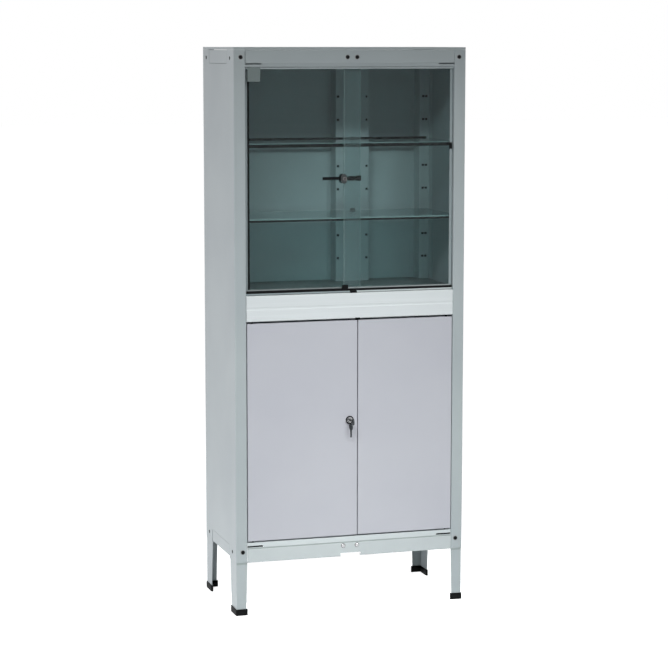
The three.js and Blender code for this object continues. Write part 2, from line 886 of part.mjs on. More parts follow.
function cam() {
  const half = camWidth / 2;
  const outline = new THREE.Shape();
  outline.moveTo(doorLockX - half, doorLockZ);
  outline.lineTo(doorLockX - half * 0.7, doorLockZ - camLength + 3);
  outline.lineTo(doorLockX - half * 0.7 + 3, doorLockZ - camLength);
  outline.lineTo(doorLockX + half * 0.7 - 3, doorLockZ - camLength);
  outline.lineTo(doorLockX + half * 0.7, doorLockZ - camLength + 3);
  outline.lineTo(doorLockX + half, doorLockZ);
  outline.absarc(doorLockX, doorLockZ, half, 0, Math.PI);
  return extruded("y", outline, camY, camY + camSheet);
}

// A key drawn flat in its own plane: bow at the origin, blade along -v
function keyShape(bladeLength, holeV) {
  const neck = 4;
  const start = Math.asin(neck / keyBowRadius);
  const shape = new THREE.Shape();
  shape.absarc(0, 0, keyBowRadius, -Math.PI / 2 + start, 1.5 * Math.PI - start);
  shape.lineTo(-neck, -keyBowRadius - bladeLength + 3);
  shape.lineTo(-neck + 2, -keyBowRadius - bladeLength);
  shape.lineTo(neck - 2, -keyBowRadius - bladeLength);
  for (let v = -keyBowRadius - bladeLength + 3; v < -keyBowRadius - 8; v += 5) {
    shape.lineTo(neck, v);
    shape.lineTo(neck - 1.6, v + 2.5);
  }
  shape.lineTo(neck, -keyBowRadius - 4);
  const hole = new THREE.Path();
  hole.absarc(0, holeV, 2.6, 0, 2 * Math.PI, true);
  shape.holes.push(hole);
  return shape;
}

// The key in the lock: a bow with a round stem, its blade inside the plug
function doorKey() {
  const bowY = frontY - keyReach + keyBowRadius;
  const bow = rod("x", [doorLockX - keySheet / 2, bowY, doorLockZ], keySheet, keyBowRadius, 28);
  const hole = rod("x", [doorLockX - keySheet, bowY - 5, doorLockZ], 2 * keySheet, 2.6, 16);
  const stemEnd = plugFrontY - seat;
  const stemStart = bowY + keyBowRadius - 2;
  const stem = rod("y", [doorLockX, stemStart, doorLockZ], stemEnd - stemStart, keyStemRadius, 16);
  const blade = block(
    doorLockX - keySheet / 2,
    stemEnd - 2,
    doorLockZ - 4,
    doorLockX + keySheet / 2,
    plugFrontY + 7.5,
    doorLockZ + 4,
  );
  return joined(cut(bow, hole), stem, blade);
}

const ringY = (frontY - keyReach + 2 * keyBowRadius + plugFrontY) / 2;
const ringZ = doorLockZ + keyStemRadius + seat + ringWire - ringRadius;

function keyRing() {
  const ring = new THREE.TorusGeometry(ringRadius, ringWire, 8, 28);
  ring.rotateX(Math.PI / 2);
  return ring.translate(doorLockX, ringY, ringZ);
}

function spareKey() {
  const holeV = keyBowRadius - 4.5;
  const shape = keyShape(spareKeyLength - 2 * keyBowRadius, holeV);
  const geometry = extruded("x", shape, -keySheet / 2, keySheet / 2);
  const holeZ = ringZ - ringRadius - 2.6 + ringWire + seat;
  return geometry.translate(doorLockX, ringY, holeZ - holeV);
}

// Shelf clips: a black plate hooked on the upright, with a tongue under the glass and a lug above it
function shelfClip(x, plateY, inward, shelfFoot) {
  const y = (d) => plateY + inward * d;
  const box = (d0, z0, d1, z1) =>
    block(x - clipWidth / 2, Math.min(y(d0), y(d1)), z0, x + clipWidth / 2, Math.max(y(d0), y(d1)), z1);
  const plate = box(0, shelfFoot - 20, 2.5, shelfFoot + shelfGlass + 6);
  const tongue = box(0, shelfFoot - 3.5, clipTongue, shelfFoot - seat);
  return joined(plate, tongue);
}

function glassShelf(foot) {
  const outline = roundedRectangle(-shelfHalf, shelfFrontY, shelfHalf, shelfBackY, 6);
  return extruded("z", outline, foot, foot + shelfGlass);
}

function steelShelf() {
  const front = shelfFrontY + 22;
  const half = halfWidth - 5;
  const pan = block(-half, front, steelShelfLevel - steelShelfRim, half, shelfBackY, steelShelfLevel);
  const room = block(
    -half + sheet,
    front + sheet,
    steelShelfLevel - steelShelfRim - 1,
    half - sheet,
    shelfBackY - sheet,
    steelShelfLevel - sheet,
  );
  return cut(pan, room);
}

function shelfRunner(side) {
  const top = steelShelfLevel - steelShelfRim - seat;
  const line = [
    [halfWidth - sheet - seat, top - 20],
    [halfWidth - sheet - seat, top],
    [halfWidth - sheet - 26, top],
  ].map(([x, z]) => [side * x, z]);
  const outline = folded(side > 0 ? line : line.reverse());
  return extruded("y", outline, shelfFrontY + 22, shelfBackY - 30);
}

// Keeper plate folded down behind the slit of the top lip, so the pane can't be lifted out at its end
function keeperPlate() {
  const plateX = -railHalf + 8;
  const plateTop = caseTop - topRailHeight - topLipDrop - seat;
  const plateY = frontY + railLipSet + 0.5;
  return extruded(
    "x",
    folded([
      [trackFrontY - 0.6, plateTop],
      [plateY, plateTop],
      [plateY, plateTop - 44],
    ]),
    plateX,
    plateX + 40,
  );
}

// Magnetic catch under the fascia that holds both doors at their meeting edge
function doorCatch() {
  const catchY = frontY + doorThick + 0.8;
  return cut(
    block(doorMeetX - 21, catchY, fasciaFoot - 26, doorMeetX + 9, catchY + 14, fasciaFoot - seat),
    block(doorMeetX - 16, catchY - 1, fasciaFoot - 22, doorMeetX + 4, catchY + 1.5, fasciaFoot - 14),
  );
}

// Rubber stop between the tracks that limits how far the panes pass each other
function glassStop() {
  return joined(
    block(0, frontY + 1, deckTop - sheet - seat + 0.3, 20, trackFrontY - seat, bottomTrackFoot + 3),
    block(3, frontY + 1, bottomTrackFoot + 2, 17, trackFrontY - seat, bottomTrackFoot + 5),
  );
}

// The case
for (const side of [-1, 1]) {
  const hand = side < 0 ? "left" : "right";
  addPiece(`side_panel_${hand}`, sidePanel(side), paintedSteel);
  const topJoggle = sheet + 0.4;
  const topFlangeZ = caseTop - 1 - sheet;
  const bottomJoggle = sheet + legSeat + legSheet + seat;
  const railFoot = caseFoot + 6;
  addPiece(
    `top_side_rail_${hand}`,
    sideRail(side, sideNotchTop + notchGap, caseTop - 1, topJoggle, topFlangeZ, caseTop + 30, sideNotchTop),
    paintedSteel,
  );
  addPiece(
    `bottom_side_rail_${hand}`,
    sideRail(side, railFoot, sideNotchFoot - notchGap, bottomJoggle, railFoot, caseFoot - 30, sideNotchFoot),
    paintedSteel,
  );
  addPiece(`rear_corner_upright_${hand}`, cornerUpright(side), paintedSteel);
  addPiece(`shelf_runner_${hand}`, shelfRunner(side), paintedSteel);
}
addPiece("top_front_rail", topFrontRail(), paintedSteel);
addPiece("bottom_front_rail", bottomFrontRail(), paleSteel);
addPiece("top_panel", lid(), paleSteel);
addPiece("bottom_deck", deck(bottomFlatZ + seat, pinY + pinRadius + 1, false), paintedSteel);
addPiece("middle_deck", deck(fasciaTop + seat, frontY + 10, true), paintedSteel);
addPiece("middle_fascia", fascia(), paleSteel);
addPiece("back_panel", backPanel(), paintedSteel);
addPiece("rear_single_upright", singleUpright(), paintedSteel);

// Legs and feet
for (const right of [false, true]) {
  for (const back of [false, true]) {
    const corner = `${back ? "back" : "front"}_${right ? "right" : "left"}`;
    addPiece(`leg_${corner}`, atCorner(leg(), right, back), paleSteel);
    addPiece(`foot_${corner}`, atCorner(foot(), right, back), blackPlastic);
  }
}

// Shelves
["lower", "upper"].forEach((level, i) => {
  const foot = deckTop + shelfRise * (i + 1) - shelfGlass;
  addPiece(`glass_shelf_${level}`, glassShelf(foot), clearGlass);
  for (const side of [-1, 1]) {
    const hand = side < 0 ? "left" : "right";
    const frontX = side < 0 ? -(openingHalf + stileLip / 2 + 1) : openingHalf + 1; // clear of the rear pane
    const frontClip = shelfClip(frontX, stileBackY + seat, 1, foot);
    addPiece(`shelf_clip_${level}_front_${hand}`, frontClip, blackPlastic);
    const rearY = slotFaceY - sheet - seat;
    const rearX = side < 0 ? -cornerSlotX : hatX; // on the right, the single upright carries the shelf
    const rearClip = shelfClip(rearX, rearY, -1, foot);
    addPiece(`shelf_clip_${level}_rear_${hand}`, rearClip, blackPlastic);
  }
});
addPiece("steel_shelf", steelShelf(), paintedSteel);

// Sliding glass with its ratchet lock
addPiece("top_glass_track", topTrack(), paleSteel);
addPiece("bottom_glass_track", bottomTrack(), darkSteel);
addPiece("glass_keeper_plate", keeperPlate(), paintedSteel);
addPiece("glass_stop", glassStop(), blackPlastic);
addPiece("left_glass", pane(-1, rearPaneY), clearGlass);
addPiece("right_glass", pane(1, frontPaneY), clearGlass);
addPiece("right_glass_glide", paneGlide(), blackPlastic);
addPiece("glass_lock_bar", lockBar(), darkSteel);
addPiece("glass_lock_body", lockBody(), chrome);
addPiece("glass_lock_plug", lockPlug(), chrome);

// Hinged doors with their cam lock
addPiece("left_door", leftDoor(), doorSteel);
addPiece("right_door", rightDoor(), doorSteel);
for (const side of [-1, 1]) {
  const hand = side < 0 ? "left" : "right";
  addPiece(`${hand}_door_pin_top`, doorPin(side, true), chrome);
  addPiece(`${hand}_door_pin_bottom`, doorPin(side, false), chrome);
}
addPiece("door_catch", doorCatch(), blackPlastic);
addPiece("door_lock_barrel", lockBarrel(), chrome);
addPiece("door_lock_plug", doorPlug(), chrome);
addPiece("door_lock_cam", cam(), darkSteel);
addPiece("door_key", doorKey(), chrome);
addPiece("key_ring", keyRing(), chrome);
addPiece("spare_key", spareKey(), chrome);

// The origin is under the middle of the whole object, key included
const footOverhang = seat + footWall - sheet - legSeat;
cabinet.position.y = (keyReach - footOverhang) / 2;

export default cabinet;
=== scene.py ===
import bpy
import bmesh
import json
import math
from mathutils import Matrix, Vector


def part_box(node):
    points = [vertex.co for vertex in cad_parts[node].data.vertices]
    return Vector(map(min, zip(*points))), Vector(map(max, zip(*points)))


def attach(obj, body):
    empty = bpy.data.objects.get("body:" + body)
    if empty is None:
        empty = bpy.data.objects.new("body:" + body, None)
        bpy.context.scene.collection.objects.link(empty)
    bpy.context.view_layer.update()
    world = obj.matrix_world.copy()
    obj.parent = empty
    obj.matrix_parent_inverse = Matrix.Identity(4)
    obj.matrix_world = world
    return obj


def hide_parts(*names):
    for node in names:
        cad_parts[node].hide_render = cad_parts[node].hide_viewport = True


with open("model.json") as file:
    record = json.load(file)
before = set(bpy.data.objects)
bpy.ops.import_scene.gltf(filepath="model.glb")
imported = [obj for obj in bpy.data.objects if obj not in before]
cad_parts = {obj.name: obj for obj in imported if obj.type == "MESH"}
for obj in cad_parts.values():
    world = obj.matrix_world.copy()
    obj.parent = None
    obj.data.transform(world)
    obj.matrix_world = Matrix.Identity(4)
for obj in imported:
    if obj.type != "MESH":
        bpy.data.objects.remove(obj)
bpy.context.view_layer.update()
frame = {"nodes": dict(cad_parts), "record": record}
nodes = frame["nodes"]
scene = bpy.context.scene
print("frame loaded:", len(nodes), "nodes")

bodyOf = {n: body for body, members in frame["record"]["behaviour"]["bodies"].items() for n in members}
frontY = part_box("side_panel_left")[0].y  # the plane of the stiles and doors
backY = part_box("side_panel_left")[1].y
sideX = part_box("side_panel_right")[1].x  # the outer face of the right side panel
hairGap = 0.00002  # between a laid-on piece and the face under it
uprightFlange = 0.014  # of the rear uprights, flat on the back panel


# Colours are written as sRGB hex and turned to linear here
def hexColor(code):
    parts = [int(code[i : i + 2], 16) / 255 for i in (1, 3, 5)]
    linear = [c / 12.92 if c <= 0.04045 else ((c + 0.055) / 1.055) ** 2.4 for c in parts]
    return (*linear, 1.0)


# Adds a node, sets its fields and sockets, and links what comes in
def addNode(tree, kind, fields=None, values=None, links=None):
    node = tree.nodes.new(kind)
    for name, value in (fields or {}).items():
        setattr(node, name, value)
    for name, value in (values or {}).items():
        node.inputs[name].default_value = value
    for name, source in (links or {}).items():
        tree.links.new(source, node.inputs[name])
    return node


def newMaterial(name):
    material = bpy.data.materials.new(name)
    material.use_nodes = True
    tree = material.node_tree
    tree.nodes.clear()
    output = addNode(tree, "ShaderNodeOutputMaterial")
    place = addNode(tree, "ShaderNodeTexCoord").outputs["Object"]
    return material, tree, output, place


# A noise fixed to the object, its spots about as large as size
def spotNoise(tree, place, size, detail):
    noise = addNode(
        tree, "ShaderNodeTexNoise", values={"Scale": 1 / size, "Detail": detail}, links={"Vector": place}
    )
    return noise.outputs["Fac"]


def twoTones(tree, first, second, factor):
    mix = addNode(
        tree,
        "ShaderNodeMix",
        fields={"data_type": "RGBA"},
        values={"A": hexColor(first), "B": hexColor(second)},
        links={"Factor": factor},
    )
    return mix.outputs["Result"]


def valueBetween(tree, ends, factor):
    spread = addNode(
        tree, "ShaderNodeMapRange", values={"To Min": ends[0], "To Max": ends[1]}, links={"Value": factor}
    )
    return spread.outputs["Result"]


def bumpFrom(tree, height, strength, depth):
    bump = addNode(
        tree,
        "ShaderNodeBump",
        values={"Strength": strength, "Distance": depth},
        links={"Height": height},
    )
    return bump.outputs["Normal"]


# One for a ray of the kinds named, else zero
def rayOfKind(tree, kinds):
    ray = addNode(tree, "ShaderNodeLightPath")
    found = ray.outputs[kinds[0]]
    for kind in kinds[1:]:
        either = addNode(
            tree,
            "ShaderNodeMath",
            fields={"operation": "MAXIMUM"},
            links={0: found, 1: ray.outputs[kind]},
        )
        found = either.outputs["Value"]
    return found


# Powder-coated sheet steel: baked on from dry powder, so a satin skin with a faint orange peel
# and cloudy drifts of tone that only show over a hand's width
powderCoat = {
    "peelSize": 0.0035,  # real peel is about 1 mm, drawn coarser so that it shows
    "peelDepth": 0.00003,
    "peelStrength": 0.35,
    "cloudSize": 0.35,
    "cloudRange": (0.35, 0.65),
    "roughness": (0.40, 0.52),
    "streakAlong": 2.0,  # streaks to the metre along the width
}


def powderCoatMaterial(name, paint, cloud, streakSize=None):
    material, tree, output, place = newMaterial(name)
    if streakSize:  # roller lines along the width in place of clouds
        stretched = addNode(
            tree,
            "ShaderNodeMapping",
            values={"Scale": (powderCoat["streakAlong"], 1 / streakSize, 1 / streakSize)},
            links={"Vector": place},
        )
        tone = spotNoise(tree, stretched.outputs["Vector"], 1.0, 2.0)
    else:
        drift = addNode(
            tree,
            "ShaderNodeMapRange",
            values={"From Min": powderCoat["cloudRange"][0], "From Max": powderCoat["cloudRange"][1]},
            links={"Value": spotNoise(tree, place, powderCoat["cloudSize"], 3.0)},
        )
        tone = drift.outputs["Result"]
    peel = spotNoise(tree, place, powderCoat["peelSize"], 2.0)
    shader = addNode(
        tree,
        "ShaderNodeBsdfPrincipled",
        values={"IOR": 1.48},
        links={
            "Base Color": twoTones(tree, paint, cloud, tone),
            "Roughness": valueBetween(tree, powderCoat["roughness"], peel),
            "Normal": bumpFrom(tree, peel, powderCoat["peelStrength"], powderCoat["peelDepth"]),
        },
    )
    tree.links.new(shader.outputs["BSDF"], output.inputs["Surface"])
    return material


# Plated and bare metals: fine scratches turn the highlight a little rougher in patches
def metalMaterial(name, tint, smear, roughness, scratchSize):
    material, tree, output, place = newMaterial(name)
    marks = spotNoise(tree, place, scratchSize, 4.0)
    shader = addNode(
        tree,
        "ShaderNodeBsdfPrincipled",
        values={"Metallic": 1.0},
        links={
            "Base Color": twoTones(tree, tint, smear, marks),
            "Roughness": valueBetween(tree, roughness, marks),
        },
    )
    tree.links.new(shader.outputs["BSDF"], output.inputs["Surface"])
    return material


# Matt skins with a fine grain: nylon and rubber with the spark texture of the mould, and in the
# same way black oxide on steel and the ground edge of glass
grainySkin = {"strength": 0.4, "depth": 0.0001, "roughness": (0.55, 0.75)}


def grainyMaterial(name, tint, dust, grainSize):
    material, tree, output, place = newMaterial(name)
    grain = spotNoise(tree, place, grainSize, 3.0)
    shader = addNode(
        tree,
        "ShaderNodeBsdfPrincipled",
        values={"IOR": 1.3, "Specular IOR Level": 0.2},
        links={
            "Base Color": twoTones(tree, tint, dust, grain),
            "Roughness": valueBetween(tree, grainySkin["roughness"], grain),
            "Normal": bumpFrom(tree, grain, grainySkin["strength"], grainySkin["depth"]),
        },
    )
    tree.links.new(shader.outputs["BSDF"], output.inputs["Surface"])
    return material


# Float glass: drawn on molten tin, so flat and clear, with the green of its iron. Lamps pass
# through it as through a tinted film, and the eye sees it bend and mirror
def floatGlassMaterial(name, tint, deep, film, ior, drawSize=0.2):
    material, tree, output, place = newMaterial(name)
    draw = spotNoise(tree, place, drawSize, 1.0)
    glass = addNode(
        tree,
        "ShaderNodeBsdfPrincipled",
        values={"Roughness": 0.0, "Transmission Weight": 1.0, "IOR": ior},
        links={"Base Color": twoTones(tree, tint, deep, draw)},
    )
    clear = addNode(tree, "ShaderNodeBsdfTransparent", values={"Color": hexColor(film)})
    lampRay = rayOfKind(tree, ("Is Shadow Ray", "Is Diffuse Ray"))
    mixed = addNode(
        tree, "ShaderNodeMixShader", links={0: lampRay, 1: glass.outputs["BSDF"], 2: clear.outputs["BSDF"]}
    )
    tree.links.new(mixed.outputs["Shader"], output.inputs["Surface"])
    return material


# Translucent vinyl: extruded, so a milky film with faint lines along its length
def vinylMaterial(name, tint, veil, lineSize):
    material, tree, output, place = newMaterial(name)
    across = addNode(
        tree, "ShaderNodeMapping", values={"Scale": (1 / lineSize, 1.0, 0.5)}, links={"Vector": place}
    )
    lines = spotNoise(tree, across.outputs["Vector"], 1.0, 2.0)
    shader = addNode(
        tree,
        "ShaderNodeBsdfPrincipled",
        values={"Base Color": hexColor(tint), "Roughness": 0.5, "IOR": 1.3},
        links={"Alpha": valueBetween(tree, veil, lines)},
    )
    tree.links.new(shader.outputs["BSDF"], output.inputs["Surface"])
    return material


casePaint = powderCoatMaterial("powder coat grey", "#aab4b6", "#a3adb0")
railPaint = powderCoatMaterial("powder coat pale grey", "#bdc6c7", "#b6bfc1")
fasciaPaint = powderCoatMaterial("powder coat white grey", "#dae1e3", "#cdd5d7", streakSize=0.004)
doorPaint = powderCoatMaterial("powder coat door grey", "#b8bbc2", "#b4b7bf")
platePaint = powderCoatMaterial("powder coat dim grey", "#727e7e", "#6b7777")
channelPaint = powderCoatMaterial("powder coat mid grey", "#8f9b9e", "#889497")
# painted shade: a grey for the shade lines in the rail's crease and under the stiles' feet
shadeLinePaint = powderCoatMaterial("painted shade grey", "#98a3a2", "#909b9a")
# painted shade: the deck's paint is darkened for the shade it lies in under the shelves
shadedDeckPaint = powderCoatMaterial("powder coat grey darkened as painted shade", "#5c6665", "#545e5d")
paneGlass = floatGlassMaterial("float glass pane", "#d9e6e7", "#d4e2e3", "#eef5f6", 1.22)
shelfGlass = floatGlassMaterial("float glass shelf", "#c8dcd9", "#c2d7d4", "#f4f9f8", 1.45)
# painted shade: the lower shelf's film passes less lamp light than the upper one's, to darken the bay below
shadeFilmGlass = floatGlassMaterial("float glass shelf, greener", "#c4dad8", "#bed5d3", "#b4c8c8", 1.45)
groundEdge = grainyMaterial("ground glass edge", "#a3b9b7", "#90a8a6", 0.0012)
nickelPlate = metalMaterial("nickel plate", "#c9cacb", "#b5b6b8", (0.14, 0.30), 0.004)
smokedNickel = metalMaterial("smoked nickel", "#4d5152", "#3b3f40", (0.30, 0.45), 0.003)
dullNickel = metalMaterial("dull nickel", "#8d8c8c", "#757677", (0.30, 0.45), 0.003)
blackOxide = grainyMaterial("black oxide steel", "#0d0f10", "#171a1b", 0.0012)
trackAluminium = metalMaterial("satin aluminium", "#8f9697", "#828a8b", (0.34, 0.46), 0.003)
blackNylon = grainyMaterial("black nylon", "#0a0b0c", "#121415", 0.0016)
# black rubber for the real bumper, lobes and stop, and also for the black strips of painted shade
rubberAndShadeBlack = grainyMaterial("black seal rubber and painted shade", "#0c0e0f", "#151819", 0.0016)
sealVinyl = vinylMaterial("translucent vinyl", "#a3b1b0", (0.05, 0.12), 0.006)
print("materials made")


# The finish of every CAD node, by the words in its name
def finishOf(name):
    words = name.split("_")
    if name in ("left_glass", "right_glass"):
        return paneGlass
    if name.startswith("glass_shelf"):
        return shadeFilmGlass if name.endswith("lower") else shelfGlass
    # painted shade: the middle deck is painted darker than the rest of the case
    if name == "middle_deck":
        return shadedDeckPaint
    if name in ("left_door", "right_door"):
        return doorPaint
    if name == "middle_fascia":
        return fasciaPaint
    if name in ("bottom_front_rail", "back_panel") or "upright" in words:
        return railPaint
    if name == "glass_keeper_plate":
        return platePaint
    if name.startswith(("foot_", "shelf_clip")):
        return blackNylon
    if name in ("glass_stop", "door_catch", "right_glass_glide", "bottom_glass_track"):
        return blackNylon
    if name in ("glass_lock_bar", "door_lock_cam") or "pin" in words:
        return blackOxide
    if name in ("glass_lock_body", "door_key", "spare_key", "key_ring"):
        return smokedNickel
    if name == "glass_lock_plug":
        return dullNickel
    if name in ("door_lock_barrel", "door_lock_plug"):
        return nickelPlate
    return casePaint


for name, node in nodes.items():
    node.data.materials.clear()
    node.data.materials.append(finishOf(name))


# A finished piece: its mesh in place, smooth but for its sharp edges, riding on a body
def addPiece(name, bm, material, body, smoothAngle=35):
    mesh = bpy.data.meshes.new(name)
    for face in bm.faces:
        face.smooth = True
    for edge in bm.edges:
        edge.smooth = len(edge.link_faces) == 2 and edge.calc_face_angle(0) < math.radians(smoothAngle)
    bm.to_mesh(mesh)
    bm.free()
    mesh.materials.append(material)
    piece = bpy.data.objects.new(name, mesh)
    scene.collection.objects.link(piece)
    # keeps flat faces flat to the light
    weighted = piece.modifiers.new("weighted normals", "WEIGHTED_NORMAL")
    weighted.keep_sharp = True
    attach(piece, body)
    return piece


def easeEdges(bm, edges, width, segments):
    bmesh.ops.bevel(
        bm,
        geom=edges,
        offset=width,
        offset_type="OFFSET",
        segments=segments,
        profile=0.5,
        affect="EDGES",
        clamp_overlap=True,
        material=-1,
    )


# Doors, feet and the spare key keep their CAD shape, with edges eased as folding, paint and
# moulding leave them
easedEdges = {"door": 0.0005, "foot": 0.0012, "segments": 2, "flatAngle": 0.5, "sharpAngle": 40}


def easedCopy(name, width, move=None):
    bm = bmesh.new()
    bm.from_mesh(nodes[name].data)
    bmesh.ops.remove_doubles(bm, verts=bm.verts, dist=1e-5)
    flat = math.radians(easedEdges["flatAngle"])
    bmesh.ops.dissolve_limit(bm, angle_limit=flat, verts=bm.verts, edges=bm.edges)
    bend = math.radians(easedEdges["sharpAngle"])
    sharp = [e for e in bm.edges if len(e.link_faces) == 2 and e.calc_face_angle(0) > bend]
    easeEdges(bm, sharp, width, easedEdges["segments"])
    if move:
        bmesh.ops.transform(bm, matrix=move, verts=bm.verts)
    piece = addPiece(name + "_eased", bm, finishOf(name), bodyOf[name])
    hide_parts(name)
    return piece


for name in ("left_door", "right_door"):
    easedCopy(name, easedEdges["door"])
for name in [n for n in nodes if n.startswith("foot_")]:
    easedCopy(name, easedEdges["foot"])
print("edges eased")


# A profile of (radius, height) points turned about an axis through a place
def turnedProfile(profile, place, axis, steps):
    bm = bmesh.new()
    verts = [bm.verts.new((radius, 0, height)) for radius, height in profile]
    edges = [bm.edges.new(pair) for pair in zip(verts, verts[1:])]
    bmesh.ops.spin(
        bm,
        geom=verts + edges,
        cent=(0, 0, 0),
        axis=(0, 0, 1),
        angle=2 * math.pi,
        steps=steps,
        use_merge=True,
    )
    bmesh.ops.remove_doubles(bm, verts=bm.verts, dist=1e-6)
    bmesh.ops.recalc_face_normals(bm, faces=bm.faces)
    turn = Vector((0, 0, 1)).rotation_difference(Vector(axis)).to_matrix().to_4x4()
    bmesh.ops.transform(bm, matrix=Matrix.Translation(place) @ turn, verts=bm.verts)
    return bm


# Several bmeshes as one
def gathered(parts):
    whole = bmesh.new()
    for part in parts:
        mesh = bpy.data.meshes.new("part")
        part.to_mesh(mesh)
        part.free()
        whole.from_mesh(mesh)
        bpy.data.meshes.remove(mesh)
    return whole


# Socket-head screws at the corners of the frames and the middle of the front rails, on cup
# washers in front
screws = {
    "headRadius": 0.0058,
    "headHeight": 0.0034,
    "socketRadius": 0.0026,
    "socketDepth": 0.0022,
    "socketLip": 0.0002,
    "domeShare": 0.75,  # of the head's height
    "washerRadius": 0.0074,
    "washerHeight": 0.0011,
    "seat": 0.6,  # share of the washer's height that the head sits up
    "flush": 0.16,  # share of the height left on the sides and back, where heads are countersunk
    "steps": 24,
    "stileInset": 0.0222,  # from the side of the case
    "topZ": 1.738,
    "footZ": 0.203,
    "topPair": (-0.0123, 0.0187),
    "footPair": (-0.0245, 0.0206),
    "sideInset": 0.045,  # from the front or back of the case
    "sideTopZ": 1.735,
    "sideFootZ": 0.197,
}
quarterTurns = [k / 5 * math.pi / 2 for k in range(1, 6)]  # for domes
stileX = sideX - screws["stileInset"]
sideYs = (frontY + screws["sideInset"], backY - screws["sideInset"])
screwPlaces = []
railScrewPlaces = [((x, frontY, screws["footZ"]), (0, -1, 0)) for x in screws["footPair"]]
for x in (-stileX, stileX):
    for z in (screws["topZ"], screws["footZ"]):
        screwPlaces.append(((x, frontY, z), (0, -1, 0)))
        screwPlaces.append(((x, backY, z), (0, 1, 0)))
for x in screws["topPair"]:
    screwPlaces.append(((x, frontY, screws["topZ"]), (0, -1, 0)))
for side in (-1, 1):
    for y in sideYs:
        for z in (screws["sideTopZ"], screws["sideFootZ"]):
            screwPlaces.append(((side * sideX, y, z), (side, 0, 0)))


# A (radius, height) profile turned as a screw piece, pressed flush where the face isn't the front
def screwPiece(profile, place, axis):
    share = 1.0 if axis[1] < 0 else screws["flush"]
    lifted = [(r, hairGap + z * share) for r, z in profile]
    return turnedProfile(lifted, place, axis, screws["steps"])


def screwHead(place, axis):
    rim, height = screws["headRadius"], screws["headHeight"]
    lift = screws["washerHeight"] * screws["seat"]
    socket, depth, lip = screws["socketRadius"], screws["socketDepth"], screws["socketLip"]
    dome = screws["domeShare"]
    profile = [
        (0, lift + height - depth),
        (socket, lift + height - depth),
        (socket, lift + height - lip),
        (socket + lip, lift + height),
    ]
    for turn in quarterTurns:  # from the rim of the socket to the seat
        reach = socket + lip + (rim - socket - lip) * math.sin(turn)
        profile.append((reach, lift + height * (1 - dome + dome * math.cos(turn))))
    profile += [(rim, lift), (0, lift)]
    return screwPiece(profile, place, axis)


def cupWasher(place, axis):
    rim, height = screws["washerRadius"], screws["washerHeight"]
    profile = [
        (0, 0),
        (rim, 0),
        (rim, height * 0.4),
        (rim - height * 0.6, height),
        (rim * 0.62, height),
        (rim * 0.5, height * 0.5),
        (0, height * 0.5),
    ]
    return screwPiece(profile, place, axis)


caseHeads = gathered([screwHead(*p) for p in screwPlaces])
addPiece("case_screw_heads", caseHeads, blackOxide, "case")
railHeads = gathered([screwHead(*p) for p in railScrewPlaces])
addPiece("rail_screw_heads", railHeads, nickelPlate, "case")
frontPlaces = [p for p in screwPlaces if p[1][1] < 0]
washers = gathered([cupWasher(*p) for p in frontPlaces + railScrewPlaces])
addPiece("case_screw_washers", washers, dullNickel, "case")
print("screws:", len(screwPlaces) + len(railScrewPlaces))


# Dome rivets through the back panel into the flanges of the uprights
rivets = {"radius": 0.0042, "height": 0.0016, "rows": 6, "endInset": 0.06, "steps": 20}
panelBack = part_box("back_panel")[1].y
singleLow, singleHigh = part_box("rear_single_upright")
rivetXs = [
    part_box("rear_corner_upright_left")[1].x - uprightFlange / 2,
    singleLow.x + uprightFlange / 2,
    singleHigh.x - uprightFlange / 2,
    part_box("rear_corner_upright_right")[0].x + uprightFlange / 2,
]
rivetFoot = singleLow.z + rivets["endInset"]
rivetPitch = (singleHigh.z - rivets["endInset"] - rivetFoot) / (rivets["rows"] - 1)
rivetProfile = [(0, 0), (rivets["radius"], 0)]
for turn in quarterTurns:
    rivetProfile.append((rivets["radius"] * math.cos(turn), rivets["height"] * math.sin(turn)))
rivetHeads = []
for x in rivetXs:
    for row in range(rivets["rows"]):
        place = (x, panelBack + hairGap, rivetFoot + row * rivetPitch)
        rivetHeads.append(turnedProfile(rivetProfile, place, (0, 1, 0), rivets["steps"]))
addPiece("back_panel_rivets", gathered(rivetHeads), dullNickel, "case")
print("rivets:", len(rivetXs) * rivets["rows"])


# A strip with eased edges, between two corners
def easedStrip(low, high, width, segments=2):
    bm = bmesh.new()
    bmesh.ops.create_cube(bm, size=1.0)
    size = Vector(high) - Vector(low)
    bmesh.ops.scale(bm, vec=size, verts=bm.verts)
    bmesh.ops.translate(bm, vec=(Vector(low) + Vector(high)) / 2, verts=bm.verts)
    easeEdges(bm, bm.edges[:], width, segments)
    return bm


thinEase = {"width": 0.0001, "segments": 1}  # for strips with no ease of their own


# A strip whose back lies in the plane y = face; without an ease its edges are only broken
def laidStrip(spanX, spanZ, face, thickness, ease=None):
    low = (spanX[0], face - thickness, spanZ[0])
    high = (spanX[1], face, spanZ[1])
    if ease:
        return easedStrip(low, high, ease)
    return easedStrip(low, high, thinEase["width"], thinEase["segments"])


# Strips on the panes: an aluminium shoe along the foot, a grey channel down the outer edge with a
# black strip of painted shade beside it on the rear pane, and a vinyl strip that closes the gap where the
# panes overlap
paneStrips = {
    "shoeHeight": 0.004,  # the pane sits in it
    "shoeLift": 0.0006,  # above the track
    "footGap": 0.0005,  # between the shoe and the upright strips
    "topGap": 0.002,  # under the upper track
    "channelWidth": 0.0085,
    "shadeLineGap": 0.0001,
    "shadeLineWidth": 0.0065,
    "thickness": 0.0005,
    "vinylThickness": 0.0003,
    "vinylInset": 0.001,
    "ease": 0.0002,
}
stripDepth, stripEase = paneStrips["thickness"], paneStrips["ease"]
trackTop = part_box("bottom_glass_track")[1].z
shoeFoot = trackTop + paneStrips["shoeLift"]
shoeTop = shoeFoot + paneStrips["shoeHeight"]
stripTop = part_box("top_glass_track")[0].z - paneStrips["topGap"]
stripSpan = (shoeTop + paneStrips["footGap"], stripTop)
